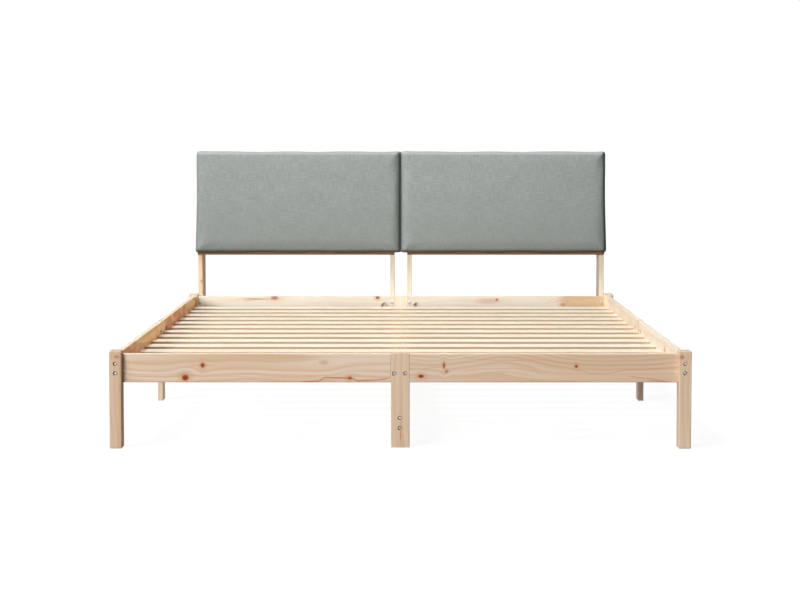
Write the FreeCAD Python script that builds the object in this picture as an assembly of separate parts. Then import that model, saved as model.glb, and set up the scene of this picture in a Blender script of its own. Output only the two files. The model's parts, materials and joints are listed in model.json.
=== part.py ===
import FreeCAD, Part
import math
import os

# Double bed frame of solid pine with a low headboard that carries two linen cushions.
# Lengths are in millimetres. +X is right seen from the foot, +Y runs to the headboard, +Z is up.
# The origin lies on the floor, under the middle of the whole bed.

# Whole bed
bed_width = 1883.0          # over the outer faces of the corner legs
bed_length = 2086.0         # over the end faces of the corner legs
board_thickness = 20.0      # every board of the frame and of the headboard
edge_round = 3.0            # rounding along the boards' long edges
end_round = 1.0             # easing round the boards' sawn ends

# Corner legs and the flat legs that stand in line with the rails
leg_height = 317.0
corner_leg_width = 40.0     # across the bed
corner_leg_depth = 50.0     # along the bed
flat_leg_width = 61.0
end_rail_setback = 20.0     # from the end faces of the corner legs to the end rails

# Rails, each in two halves
rail_height = 94.0
rail_drop = 10.0            # rail tops below the tops of the corner legs

# Slats and what carries them
slat_count = 13
slat_width = 79.0
slat_thickness = 12.0
slat_round = 3.0
first_slat_gap = 69.0       # from the foot rail to the first slat
last_slat_gap = 31.6        # from the last slat to the head rail
slat_end_gap = 1.0
well_depth = 43.0           # slat tops below the rail tops
ledger_height = 20.0
beam_height = 94.0
stretcher_height = 94.0
stretcher_clearance = 33.0  # under the low stretcher

# Headboard
post_depth = 120.0
post_height = 939.0
post_top_round = 8.0
inner_post_inset = 28.0     # from the middle of the bed to the inner posts
knee_height = 487.0         # where the posts' front edges start to lean back
lean_angle = 8.5
cross_board_height = 94.0
cross_board_lift = 3.0      # lower board above the knee, along the slope
upper_board_lift = 345.0
pad_board_thickness = 6.0
pad_board_width = 880.0
pad_board_height = 434.0

# Headboard cushions
cushion_width = 903.0
cushion_height = 447.0      # up the slope
cushion_thickness = 45.0
cushion_gap = 11.0          # between the two
cushion_lift = 8.0          # above the knee, along the slope
cushion_crown = 5.0
cushion_side_bulge = 1.5
cushion_draw = 4.0          # how far the long edges draw in at mid width
cushion_front_round = 15.0
cushion_back_round = 5.0
cushion_end_reach = 16.0    # width over which each end rounds off
cushion_end_draw = 12.0

# Socket bolts with barrel nuts
bolt_diameter = 6.0
bolt_head_diameter = 12.0
bolt_head_height = 4.0
bolt_rim_height = 1.2       # straight rim under the domed head
bolt_socket_across = 6.0
bolt_socket_depth = 2.5
corner_bolt_length = 90.0
frame_bolt_length = 60.0
sink_diameter = 14.5
sink_depth = 7.0
barrel_diameter = 10.0
barrel_length = 14.0
barrel_inset = 35.0         # from the joint to the barrel nut
barrel_slot_width = 1.4
barrel_slot_depth = 1.2
drill_clearance = 0.1       # all round a bolt, rod, nut or screw
drill_end_gap = 2.0

# Where the bolts stand, as drops below the rail tops
side_bolt_drop = 31.0
side_bolt_spacing = 31.0
end_bolt_drop = 46.5
end_bolt_spacing = 31.0
post_bolt_drop = 28.0
post_bolt_spacing = 40.0
ledger_bolt_offset = 18.0   # each side of the line drilled down the centre legs
centre_bolt_line = -1.5     # that line, from the middle of the bed
stretcher_bolt_spacing = 33.0

# Threaded rods that pull the rail halves onto the flat legs
rod_drop = 45.0
pocket_diameter = 34.0
pocket_offset = 71.0        # from the middle of the flat leg
pocket_depth = 17.5
rod_end_reach = 3.5         # rod beyond its nut
hex_nut_across = 10.0
hex_nut_thickness = 5.0
moon_washer_thickness = 4.5

# Countersunk screws
screw_diameter = 4.0
screw_head_diameter = 8.0
screw_head_height = 3.0
screw_tip_length = 4.0
screw_recess_width = 1.0
screw_recess_length = 4.0
screw_recess_depth = 1.5
ledger_screw_length = 35.0
board_screw_length = 40.0
pad_screw_length = 25.0
ledger_screw_inset = 15.0   # from the strip ends at the middle of the bed
ledger_outer_inset = 70.0   # from the strip ends at the foot and the head
ledger_screw_stagger = 40.0
middle_screw_stagger = 10.0
ledger_screw_count = 4
board_screw_inset = 20.0
pad_screw_inset = 220.0

# Shares used when rounding and lofting
parallel_share = 0.99
arc_middle_share = 1.0 - math.sqrt(0.5)
cushion_end_turn_shares = (0.0, 0.12, 0.3, 0.55, 1.0)
cushion_middle_shares = (0.6, 0.0)

# Places worked out from the sizes above
overall_length = bed_length - end_rail_setback + post_depth
foot_face = -overall_length / 2
head_face = foot_face + bed_length
half_width = bed_width / 2
leg_inner = half_width - corner_leg_width
side_middle = half_width - corner_leg_width / 2
side_inner = side_middle - board_thickness / 2
side_outer = side_middle + board_thickness / 2
foot_rail_span = (foot_face + end_rail_setback, foot_face + end_rail_setback + board_thickness)
head_rail_span = (head_face - end_rail_setback - board_thickness, head_face - end_rail_setback)
length_middle = (foot_face + head_face) / 2
rail_top = leg_height - rail_drop
rail_bottom = rail_top - rail_height
slat_top = rail_top - well_depth
slat_bottom = slat_top - slat_thickness
first_slat_front = foot_rail_span[1] + first_slat_gap
last_slat_front = head_rail_span[0] - last_slat_gap - slat_width
slat_pitch = (last_slat_front - first_slat_front) / (slat_count - 1)
ledger_bottom = slat_bottom - ledger_height
ledger_middle = slat_bottom - ledger_height / 2
beam_half = board_thickness / 2
beam_bottom = slat_bottom - beam_height
stretcher_middle = stretcher_clearance + stretcher_height / 2
knee_y = head_rail_span[1]
post_back = knee_y + post_depth
outer_post_outer = leg_inner
outer_post_middle = outer_post_outer - board_thickness / 2
inner_post_outer = inner_post_inset + board_thickness
inner_post_middle = inner_post_inset + board_thickness / 2
cushion_middle = (cushion_width + cushion_gap) / 2
cushion_back = board_thickness + pad_board_thickness
pad_board_lift = cushion_lift + (cushion_height - pad_board_height) / 2

SIDES = {"left": -1, "right": 1}
AXIS_X = FreeCAD.Vector(1, 0, 0)
AXIS_Y = FreeCAD.Vector(0, 1, 0)
AXIS_Z = FreeCAD.Vector(0, 0, 1)


def block(x_pair, y_pair, z_pair):
    """Box between two opposite corners, whichever way the pairs run."""
    low = FreeCAD.Vector(min(x_pair), min(y_pair), min(z_pair))
    high = FreeCAD.Vector(max(x_pair), max(y_pair), max(z_pair))
    size = high - low
    return Part.makeBox(size.x, size.y, size.z, low)


def edges_along(shape, axis):
    """The straight edges of a shape that run along an axis."""
    straight = [edge for edge in shape.Edges if edge.Curve.TypeId == "Part::GeomLine"]
    return [edge for edge in straight if abs(edge.Curve.Direction.dot(axis)) > parallel_share]


def end_edges(shape, axis):
    """The edges round the two end faces of a board that runs along an axis."""
    flat = [face for face in shape.Faces if face.Surface.TypeId == "Part::GeomPlane"]
    ends = [face for face in flat if abs(face.normalAt(0, 0).dot(axis)) > parallel_share]
    return [edge for face in ends for edge in face.Edges]


def board(x_pair, y_pair, z_pair, grain, radius=edge_round):
    """Board with rounded long edges and eased ends, its grain along an axis."""
    raw = block(x_pair, y_pair, z_pair)
    long_rounded = raw.makeFillet(radius, edges_along(raw, grain))
    return long_rounded.makeFillet(end_round, end_edges(long_rounded, grain))


def placed(shape, point, direction):
    """Copy of a shape made along +Z, moved to a point and turned to a direction."""
    turned = shape.copy()
    turned.Placement = FreeCAD.Placement(point, FreeCAD.Rotation(AXIS_Z, direction))
    return turned


def hexagon_prism(across, height, base):
    """Six-sided prism, its flats a given width apart, standing on a height."""
    radius = across / math.sqrt(3)
    corners = [FreeCAD.Vector(radius * math.cos(math.radians(60 * turn)),
                              radius * math.sin(math.radians(60 * turn)), base)
               for turn in range(7)]
    return Part.Face(Part.makePolygon(corners)).extrude(AXIS_Z * height)


def leaned(shape):
    """Moves a headboard piece from the slope's own axes to its place on the posts."""
    turn = FreeCAD.Rotation(AXIS_X, -lean_angle)
    moved = shape.copy()
    moved.Placement = FreeCAD.Placement(FreeCAD.Vector(0, knee_y, knee_height), turn)
    return moved


# Legs

def corner_leg(side, face, inward):
    """Upright corner leg, its end face at one end of the bed."""
    raw = block((side * leg_inner, side * half_width), (face, face + inward * corner_leg_depth),
                (0, leg_height))
    return raw.makeFillet(edge_round, raw.Edges)


def cross_flat_leg(y_pair):
    """Flat leg between the halves of the foot or the head rail."""
    return board((-flat_leg_width / 2, flat_leg_width / 2), y_pair, (0, rail_top), AXIS_Z)


def long_flat_leg(x_pair, top):
    """Flat leg at mid length, between the halves of a side rail or of the centre beam."""
    y_pair = (length_middle - flat_leg_width / 2, length_middle + flat_leg_width / 2)
    return board(x_pair, y_pair, (0, top), AXIS_Z)


def add_legs(wood):
    """The four corner legs and the five flat legs."""
    for name, side in SIDES.items():
        wood["foot_leg_" + name] = corner_leg(side, foot_face, 1)
        wood["head_leg_" + name] = corner_leg(side, head_face, -1)
        wood["side_leg_" + name] = long_flat_leg((side * side_inner, side * side_outer), rail_top)
    wood["foot_leg_centre"] = cross_flat_leg(foot_rail_span)
    wood["head_leg_centre"] = cross_flat_leg(head_rail_span)
    wood["middle_leg_centre"] = long_flat_leg((-beam_half, beam_half), slat_bottom)


# Rails, centre beam and low stretcher

def long_halves(start, end):
    """The two stretches along the bed that a flat leg at mid length parts."""
    return {"front": (start, length_middle - flat_leg_width / 2),
            "rear": (length_middle + flat_leg_width / 2, end)}


def add_rails(wood):
    """Side, foot and head rails, each in two halves."""
    rail_span = (rail_bottom, rail_top)
    side_halves = long_halves(foot_face + corner_leg_depth, head_face - corner_leg_depth)
    for name, side in SIDES.items():
        for half, y_pair in side_halves.items():
            wood["side_rail_" + name + "_" + half] = board(
                (side * side_inner, side * side_outer), y_pair, rail_span, AXIS_Y)
        across = (side * flat_leg_width / 2, side * leg_inner)
        wood["foot_rail_" + name] = board(across, foot_rail_span, rail_span, AXIS_X)
        wood["head_rail_" + name] = board(across, head_rail_span, rail_span, AXIS_X)


def add_centre(wood):
    """Centre beam under the slats' inner ends and the low stretcher between the centre legs."""
    x_pair = (-beam_half, beam_half)
    stretcher_span = (stretcher_clearance, stretcher_clearance + stretcher_height)
    for half, y_pair in long_halves(foot_rail_span[1], head_rail_span[0]).items():
        wood["centre_beam_" + half] = board(x_pair, y_pair, (beam_bottom, slat_bottom), AXIS_Y)
        wood["stretcher_" + half] = board(x_pair, y_pair, stretcher_span, AXIS_Y)


# Ledger strips and slats

def ledger_pair(x_pair, start, end):
    """Two strips in line that meet at mid length."""
    z_pair = (ledger_bottom, slat_bottom)
    return [board(x_pair, y_pair, z_pair, AXIS_Y)
            for y_pair in ((start, length_middle), (length_middle, end))]


def add_ledgers(wood):
    """Strips on the side rails and on the centre beam that carry the slats."""
    for name, side in SIDES.items():
        outer = (side * side_inner, side * (side_inner - board_thickness))
        inner = (side * beam_half, side * (beam_half + board_thickness))
        outer_strips = ledger_pair(outer, foot_face + corner_leg_depth, head_face - corner_leg_depth)
        inner_strips = ledger_pair(inner, foot_rail_span[1], head_rail_span[0])
        for half, outer_strip, inner_strip in zip(("front", "rear"), outer_strips, inner_strips):
            wood["side_ledger_" + name + "_" + half] = outer_strip
            wood["centre_ledger_" + name + "_" + half] = inner_strip


def slat_row(index):
    """The left and right slats of one row."""
    front = first_slat_front + index * slat_pitch
    inner = slat_end_gap / 2
    outer = side_inner - slat_end_gap
    return [board((side * inner, side * outer), (front, front + slat_width),
                  (slat_bottom, slat_top), AXIS_X, slat_round)
            for side in SIDES.values()]


# Headboard

def post(x_pair):
    """Headboard post: a board on edge whose front edge leans back above the knee."""
    lean_back = (post_height - knee_height) * math.tan(math.radians(lean_angle))
    outline = [(knee_y, rail_bottom), (post_back, rail_bottom), (post_back, post_height),
               (knee_y + lean_back, post_height), (knee_y, knee_height), (knee_y, rail_bottom)]
    start = min(x_pair)
    face = Part.Face(Part.makePolygon([FreeCAD.Vector(start, y, z) for y, z in outline]))
    raw = face.extrude(AXIS_X * board_thickness)
    tops = [edge for edge in edges_along(raw, AXIS_X)
            if abs(edge.CenterOfMass.z - post_height) < end_round]
    rounded = raw.makeFillet(post_top_round, tops)
    sides = [side_face for side_face in rounded.Faces
             if abs(side_face.normalAt(0, 0).dot(AXIS_X)) > parallel_share]
    return rounded.makeFillet(edge_round, [edge for side_face in sides for edge in side_face.Edges])


def slope_board(x_pair, lift, height, front, thickness):
    """Board on the headboard's slope, a given way above the knee and in front of the posts."""
    return leaned(board(x_pair, (-front, -front - thickness), (lift, lift + height), AXIS_X,
                        min(edge_round, thickness / 3)))


def add_headboard(wood):
    """Posts, cross boards and the boards behind the cushions."""
    for name, side in SIDES.items():
        wood["outer_post_" + name] = post((side * (outer_post_outer - board_thickness),
                                           side * outer_post_outer))
        wood["inner_post_" + name] = post((side * inner_post_inset, side * inner_post_outer))
        across = (side * inner_post_inset, side * outer_post_outer)
        wood["lower_cross_board_" + name] = slope_board(
            across, cross_board_lift, cross_board_height, 0, board_thickness)
        wood["upper_cross_board_" + name] = slope_board(
            across, upper_board_lift, cross_board_height, 0, board_thickness)
        pad_inner = side * (cushion_middle - pad_board_width / 2)
        pad_outer = side * (cushion_middle + pad_board_width / 2)
        wood["pad_board_" + name] = slope_board(
            (pad_inner, pad_outer), pad_board_lift, pad_board_height, board_thickness,
            pad_board_thickness)


def cushion_section(x, draw, thickness):
    """Closed outline of a cushion at one place across its width."""
    low = cushion_lift + draw
    high = cushion_lift + cushion_height - draw
    back = cushion_back
    front = cushion_back + thickness
    front_round = min(cushion_front_round, thickness / 3)
    back_round = min(cushion_back_round, thickness / 4)
    crown = cushion_crown * thickness / cushion_thickness
    bulge = cushion_side_bulge * thickness / cushion_thickness
    middle = (low + high) / 2
    side_middle_depth = (back + back_round + front - front_round) / 2
    back_cut = back_round * arc_middle_share
    front_cut = front_round * arc_middle_share

    def point(depth, height):
        return FreeCAD.Vector(x, -depth, height)

    turns = (
        (point(back, high - back_round), point(back + back_cut, high - back_cut),
         point(back + back_round, high)),
        (point(back + back_round, high), point(side_middle_depth, high + bulge),
         point(front - front_round, high)),
        (point(front - front_round, high), point(front - front_cut, high - front_cut),
         point(front, high - front_round)),
        (point(front, high - front_round), point(front + crown, middle),
         point(front, low + front_round)),
        (point(front, low + front_round), point(front - front_cut, low + front_cut),
         point(front - front_round, low)),
        (point(front - front_round, low), point(side_middle_depth, low - bulge),
         point(back + back_round, low)),
        (point(back + back_round, low), point(back + back_cut, low + back_cut),
         point(back, low + back_round)),
    )
    arcs = [Part.Arc(*turn).toShape() for turn in turns]
    back_line = Part.LineSegment(turns[-1][2], turns[0][0]).toShape()
    return Part.Wire([back_line] + arcs)


def cushion(side):
    """Box cushion with a crowned front, rounded ends and long edges that draw in."""
    half = cushion_width / 2
    stations = []
    for share in cushion_end_turn_shares:
        rise = math.sqrt(1 - (1 - share) ** 2)
        stations.append((half - share * cushion_end_reach, (1 - rise) * cushion_end_draw,
                         cushion_thickness - (1 - rise) * cushion_end_draw * 2))
    for share in cushion_middle_shares:
        stations.append((half * share, (1 - share) * cushion_draw / 2, cushion_thickness))
    mirrored_stations = [(-x, draw, thickness) for x, draw, thickness in stations[:-1]]
    ordered = mirrored_stations + stations[::-1]
    centre = side * cushion_middle
    wires = [cushion_section(centre + x, draw, thickness) for x, draw, thickness in ordered]
    return leaned(Part.makeLoft(wires, True, True))


# Fastenings: each function drills the wood and adds the loose pieces to their groups

def bolt_shape(length, seat):
    """Socket bolt along +Z with a domed head that seats at a height."""
    top = seat - bolt_head_height
    head_radius = bolt_head_diameter / 2
    rise = bolt_head_height - bolt_rim_height
    dome_radius = (head_radius ** 2 + rise ** 2) / (2 * rise)
    dome = Part.makeSphere(dome_radius, FreeCAD.Vector(0, 0, top + dome_radius))
    head = Part.makeCylinder(head_radius, bolt_head_height, FreeCAD.Vector(0, 0, top)).common(dome)
    shank = Part.makeCylinder(bolt_diameter / 2, length, FreeCAD.Vector(0, 0, seat))
    socket = hexagon_prism(bolt_socket_across, bolt_socket_depth, top)
    return head.fuse(shank).cut(socket).removeSplitter()


def barrel_nut_shape():
    """Slotted barrel nut along +Z, centred on the origin, before its cross hole."""
    barrel = Part.makeCylinder(barrel_diameter / 2, barrel_length,
                               FreeCAD.Vector(0, 0, -barrel_length / 2))
    slot = block((-barrel_slot_width / 2, barrel_slot_width / 2), (-barrel_diameter, barrel_diameter),
                 (barrel_length / 2 - barrel_slot_depth, barrel_length / 2))
    return barrel.cut(slot)


def drill(wood, names, tool):
    """Cuts one tool out of each named board."""
    for name in names:
        wood[name] = wood[name].cut(tool)


def bolt_joint(wood, hardware, group, point, direction, joint_depth, open_side, names, off_middle=0):
    """Bolt through the first named board into a barrel nut in the second.

    The nut sits in the middle of its board's thickness, which the bolt may miss by a little."""
    sunk = group != "post_bolts"
    length = corner_bolt_length if group == "corner_bolts" else frame_bolt_length
    seat = sink_depth if sunk else 0
    hardware[group].append(placed(bolt_shape(length, seat), point, direction))
    radius = bolt_diameter / 2 + drill_clearance
    hole = Part.makeCylinder(radius, seat + length + drill_end_gap)
    if sunk:
        hole = hole.fuse(Part.makeCylinder(sink_diameter / 2, sink_depth))
    drill(wood, names, placed(hole, point, direction))
    nut_point = point + direction * (joint_depth + barrel_inset) + open_side * off_middle
    nut = placed(barrel_nut_shape(), nut_point, open_side)
    cross_hole = placed(Part.makeCylinder(radius, joint_depth + 2 * barrel_inset), point, direction)
    hardware["barrel_nuts"].append(nut.cut(cross_hole))
    bottom = -barrel_length / 2 - drill_clearance
    nut_hole = Part.makeCylinder(barrel_diameter / 2 + drill_clearance, board_thickness / 2 - bottom,
                                 FreeCAD.Vector(0, 0, bottom))
    drill(wood, names[1:], placed(nut_hole, nut_point, open_side))


def moon_washer_shape(half_height):
    """Half-moon washer against a round pocket's wall, the rod's axis along +X."""
    radius = pocket_diameter / 2 - drill_clearance
    disc = Part.makeCylinder(radius, 2 * half_height, FreeCAD.Vector(0, 0, -half_height))
    keep = block((-radius, -radius + moon_washer_thickness), (-radius, radius),
                 (-half_height, half_height))
    return disc.common(keep)


def rod_joint(wood, hardware, middle, along, open_side, leg, halves):
    """Threaded rod through a flat leg, with a nut and a half-moon washer in each rail half."""
    half_height = pocket_depth - board_thickness / 2 - drill_clearance
    wall = pocket_offset - pocket_diameter / 2
    seat = wall + drill_clearance + moon_washer_thickness
    half_rod = seat + hex_nut_thickness + rod_end_reach
    radius = bolt_diameter / 2
    start = middle - along * half_rod
    hardware["connector_rods"].append(placed(Part.makeCylinder(radius, 2 * half_rod), start, along))
    bore = placed(Part.makeCylinder(radius + drill_clearance, 2 * half_rod), start, along)
    drill(wood, [leg] + halves, bore)
    for sign, half in zip((-1, 1), halves):
        outward = along * sign
        pocket_point = middle + outward * pocket_offset
        bottom = board_thickness / 2 - pocket_depth
        pocket = Part.makeCylinder(pocket_diameter / 2, pocket_depth, FreeCAD.Vector(0, 0, bottom))
        drill(wood, [half], placed(pocket, pocket_point, open_side))
        washer = moon_washer_shape(half_height)
        turn = FreeCAD.Rotation(outward, open_side.cross(outward), open_side, "XYZ")
        washer.Placement = FreeCAD.Placement(pocket_point, turn)
        hardware["moon_washers"].append(washer.cut(bore))
        nut = placed(hexagon_prism(hex_nut_across, hex_nut_thickness, 0), middle + outward * seat,
                     outward)
        hardware["connector_nuts"].append(nut.cut(bore))


def screw_shape(length):
    """Countersunk screw along +Z, its head flush at the origin."""
    radius = screw_diameter / 2
    head = Part.makeCone(screw_head_diameter / 2, radius, screw_head_height)
    shank = Part.makeCylinder(radius, length - screw_head_height - screw_tip_length,
                              FreeCAD.Vector(0, 0, screw_head_height))
    tip = Part.makeCone(radius, 0, screw_tip_length, FreeCAD.Vector(0, 0, length - screw_tip_length))
    screw = head.fuse([shank, tip]).removeSplitter()
    long_pair = (-screw_recess_length / 2, screw_recess_length / 2)
    narrow_pair = (-screw_recess_width / 2, screw_recess_width / 2)
    depth_pair = (0, screw_recess_depth)
    return screw.cut([block(long_pair, narrow_pair, depth_pair),
                      block(narrow_pair, long_pair, depth_pair)])


def screw_joint(wood, hardware, group, point, direction, length, names):
    """Screw through the named boards, its head flush with the first."""
    hardware[group].append(placed(screw_shape(length), point, direction))
    radius = screw_diameter / 2 + drill_clearance
    hole = Part.makeCylinder(radius, length).fuse(
        Part.makeCone(screw_head_diameter / 2 + drill_clearance, radius, screw_head_height))
    drill(wood, names, placed(hole, point, direction))


def fasten_corners(wood, hardware):
    """Bolts through the corner legs into the side rails and into the foot and head rails."""
    for name, side in SIDES.items():
        inward_x = AXIS_X * -side
        for end, half, face, inward in (("foot", "front", foot_face, 1), ("head", "rear", head_face, -1)):
            leg = end + "_leg_" + name
            rail_span = foot_rail_span if end == "foot" else head_rail_span
            for step in range(2):
                side_point = FreeCAD.Vector(side * side_middle, face,
                                            rail_top - side_bolt_drop - step * side_bolt_spacing)
                bolt_joint(wood, hardware, "corner_bolts", side_point, AXIS_Y * inward,
                           corner_leg_depth, inward_x, [leg, "side_rail_" + name + "_" + half])
                end_point = FreeCAD.Vector(side * half_width, sum(rail_span) / 2,
                                           rail_top - end_bolt_drop - step * end_bolt_spacing)
                bolt_joint(wood, hardware, "corner_bolts", end_point, inward_x,
                           corner_leg_width, AXIS_Y * inward, [leg, end + "_rail_" + name])


def fasten_centre_legs(wood, hardware):
    """Bolts through the foot and head centre legs into the ledger ends and the low stretcher."""
    for end, half, face, inward in (("foot", "front", foot_rail_span[0], 1),
                                    ("head", "rear", head_rail_span[1], -1)):
        leg = end + "_leg_centre"
        for name, side in SIDES.items():
            x = centre_bolt_line + side * ledger_bolt_offset
            off_middle = beam_half + board_thickness / 2 - side * x
            bolt_joint(wood, hardware, "centre_leg_bolts", FreeCAD.Vector(x, face, ledger_middle),
                       AXIS_Y * inward, board_thickness, AXIS_X * side,
                       [leg, "centre_ledger_" + name + "_" + half], off_middle)
        for side in SIDES.values():
            point = FreeCAD.Vector(centre_bolt_line, face,
                                   stretcher_middle + side * stretcher_bolt_spacing / 2)
            bolt_joint(wood, hardware, "centre_leg_bolts", point, AXIS_Y * inward, board_thickness,
                       AXIS_X, [leg, "stretcher_" + half], -centre_bolt_line)


def fasten_posts(wood, hardware):
    """Bolts through the head rail into the headboard posts."""
    for name, side in SIDES.items():
        for place, x in (("outer", outer_post_middle), ("inner", inner_post_middle)):
            for step in range(2):
                point = FreeCAD.Vector(side * x, head_rail_span[0],
                                       rail_top - post_bolt_drop - step * post_bolt_spacing)
                bolt_joint(wood, hardware, "post_bolts", point, AXIS_Y, board_thickness,
                           AXIS_X * -side, ["head_rail_" + name, place + "_post_" + name])


def join_halves(wood, hardware):
    """Rods that join the halves of the rails and of the stretcher to the flat legs."""
    rod_height = rail_top - rod_drop
    for end, span, open_side in (("foot", foot_rail_span, AXIS_Y), ("head", head_rail_span, -AXIS_Y)):
        rod_joint(wood, hardware, FreeCAD.Vector(0, sum(span) / 2, rod_height), AXIS_X, open_side,
                  end + "_leg_centre", [end + "_rail_left", end + "_rail_right"])
    for name, side in SIDES.items():
        rod_joint(wood, hardware, FreeCAD.Vector(side * side_middle, length_middle, rod_height),
                  AXIS_Y, AXIS_X * -side, "side_leg_" + name,
                  ["side_rail_" + name + "_front", "side_rail_" + name + "_rear"])
    rod_joint(wood, hardware, FreeCAD.Vector(0, length_middle, stretcher_middle), AXIS_Y, AXIS_X,
              "middle_leg_centre", ["stretcher_front", "stretcher_rear"])


def ledger_screw_places(start, end, shift):
    """Distances along a strip, from its outer end to the screw at the middle of the bed."""
    first = start + math.copysign(ledger_outer_inset + shift, end - start)
    last = end - math.copysign(ledger_screw_inset, end - start)
    steps = ledger_screw_count - 1
    return [first + (last - first) * step / steps for step in range(ledger_screw_count)]


def fasten_ledgers(wood, hardware):
    """Screws through the ledger strips into the rails, the beam and the flat legs."""
    outer_starts = {"front": foot_face + corner_leg_depth, "rear": head_face - corner_leg_depth}
    inner_starts = {"front": foot_rail_span[1], "rear": head_rail_span[0]}
    for name, side in SIDES.items():
        right_share = 1 if side > 0 else 0
        for half in ("front", "rear"):
            outer = ledger_screw_places(outer_starts[half], length_middle, 0)
            inner = ledger_screw_places(inner_starts[half], length_middle,
                                        ledger_screw_stagger * right_share)
            for index, (outer_y, inner_y) in enumerate(zip(outer, inner)):
                at_leg = index == ledger_screw_count - 1
                outer_board = "side_leg_" + name if at_leg else "side_rail_" + name + "_" + half
                inner_board = "middle_leg_centre" if at_leg else "centre_beam_" + half
                outer_point = FreeCAD.Vector(side * (side_inner - board_thickness), outer_y,
                                             ledger_middle)
                screw_joint(wood, hardware, "ledger_screws", outer_point, AXIS_X * side,
                            ledger_screw_length, ["side_ledger_" + name + "_" + half, outer_board])
                leg_shift = middle_screw_stagger * right_share if at_leg else 0
                inner_point = FreeCAD.Vector(side * (beam_half + board_thickness),
                                             inner_y - leg_shift, ledger_middle)
                screw_joint(wood, hardware, "ledger_screws", inner_point, AXIS_X * -side,
                            ledger_screw_length, ["centre_ledger_" + name + "_" + half, inner_board])


def slope_point(x, depth, height):
    """Point on the headboard's slope, a given way in front of the posts and above the knee."""
    lean = math.radians(lean_angle)
    return FreeCAD.Vector(x, knee_y + height * math.sin(lean) - depth * math.cos(lean),
                          knee_height + height * math.cos(lean) + depth * math.sin(lean))


def fasten_headboard(wood, hardware):
    """Screws that hold the cross boards to the posts and the pad boards to the cross boards."""
    lean = math.radians(lean_angle)
    into_posts = FreeCAD.Vector(0, math.cos(lean), -math.sin(lean))
    for name, side in SIDES.items():
        for row, lift in (("lower", cross_board_lift), ("upper", upper_board_lift)):
            cross_board = row + "_cross_board_" + name
            heights = (lift + board_screw_inset, lift + cross_board_height - board_screw_inset)
            for place, x in (("outer", outer_post_middle), ("inner", inner_post_middle)):
                for height in heights:
                    screw_joint(wood, hardware, "board_screws",
                                slope_point(side * x, board_thickness, height), into_posts,
                                board_screw_length, [cross_board, place + "_post_" + name])
            for turn in SIDES.values():
                x = side * cushion_middle + turn * pad_screw_inset
                screw_joint(wood, hardware, "pad_screws", slope_point(x, 0, sum(heights) / 2),
                            -into_posts, pad_screw_length, [cross_board, "pad_board_" + name])


def joined_halves(wood, name):
    """Takes the front and rear pieces of a strip out of the wood and returns them together."""
    return Part.makeCompound([wood.pop(name + "_front"), wood.pop(name + "_rear")])


def build():
    """All nodes of the bed by name."""
    wood = {}
    add_legs(wood)
    add_rails(wood)
    add_centre(wood)
    add_ledgers(wood)
    add_headboard(wood)
    groups = ("corner_bolts", "centre_leg_bolts", "post_bolts", "barrel_nuts", "connector_rods",
              "moon_washers", "connector_nuts", "ledger_screws", "board_screws", "pad_screws")
    hardware = {group: [] for group in groups}
    fasten_corners(wood, hardware)
    fasten_centre_legs(wood, hardware)
    fasten_posts(wood, hardware)
    join_halves(wood, hardware)
    fasten_ledgers(wood, hardware)
    fasten_headboard(wood, hardware)
    for name, side in SIDES.items():
        wood["side_ledger_" + name] = joined_halves(wood, "side_ledger_" + name)
        wood["centre_ledger_" + name] = joined_halves(wood, "centre_ledger_" + name)
        wood["cushion_" + name] = cushion(side)
    for index in range(slat_count):
        wood["slat_row_%02d" % (index + 1)] = Part.makeCompound(slat_row(index))
    nodes = dict(wood)
    nodes.update({group: Part.makeCompound(solids) for group, solids in hardware.items()})
    return nodes


os.makedirs("parts", exist_ok=True)
for node_name, node_shape in build().items():
    node_shape.exportStep("parts/" + node_name + ".step")
    print(node_name, len(node_shape.Solids), round(node_shape.Volume / 1000, 1))
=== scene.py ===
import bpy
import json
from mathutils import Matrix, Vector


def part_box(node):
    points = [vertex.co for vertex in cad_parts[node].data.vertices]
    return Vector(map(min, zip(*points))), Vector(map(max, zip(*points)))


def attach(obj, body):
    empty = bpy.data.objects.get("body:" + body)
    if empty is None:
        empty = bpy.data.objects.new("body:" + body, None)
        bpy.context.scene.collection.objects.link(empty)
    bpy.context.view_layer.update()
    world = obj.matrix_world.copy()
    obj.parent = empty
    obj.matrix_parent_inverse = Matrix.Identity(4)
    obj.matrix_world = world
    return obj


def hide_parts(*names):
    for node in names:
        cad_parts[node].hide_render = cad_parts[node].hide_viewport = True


bl_info = {
    "name": "Pine Double Bed",
    "version": (1, 0, 0),
    "blender": (4, 5, 0),
    "location": "View3D > Sidebar > Bed",
    "description": "Finishes a pine double bed frame and makes its two headboard cushions",
    "category": "Object",
}

import json
import math

import bmesh
import bpy
import numpy as np
from bpy.props import FloatProperty, FloatVectorProperty, IntProperty, PointerProperty
from bpy.types import Operator, Panel, PropertyGroup
from mathutils import Euler, Matrix, Vector

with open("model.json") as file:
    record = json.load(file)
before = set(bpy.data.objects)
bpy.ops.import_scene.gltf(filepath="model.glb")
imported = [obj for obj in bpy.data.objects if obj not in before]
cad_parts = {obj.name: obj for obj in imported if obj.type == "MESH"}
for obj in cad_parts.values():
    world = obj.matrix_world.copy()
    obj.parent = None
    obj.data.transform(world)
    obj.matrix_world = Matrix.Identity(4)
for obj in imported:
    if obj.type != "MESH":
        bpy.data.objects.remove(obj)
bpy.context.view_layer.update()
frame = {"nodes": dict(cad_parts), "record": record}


def colour(red, green, blue):
    """Linear colour with full alpha from the 0 to 255 numbers of a paint chart."""
    def linear(level):
        share = level / 255
        return share / 12.92 if share <= 0.04045 else ((share + 0.055) / 1.055) ** 2.4
    return (linear(red), linear(green), linear(blue), 1.0)


def paint(name, description, red, green, blue):
    """A colour setting whose default is given as on a paint chart."""
    return FloatVectorProperty(name=name, description=description, subtype="COLOR", size=4,
                               min=0, max=1, default=colour(red, green, blue))


# Settings a user may change

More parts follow.
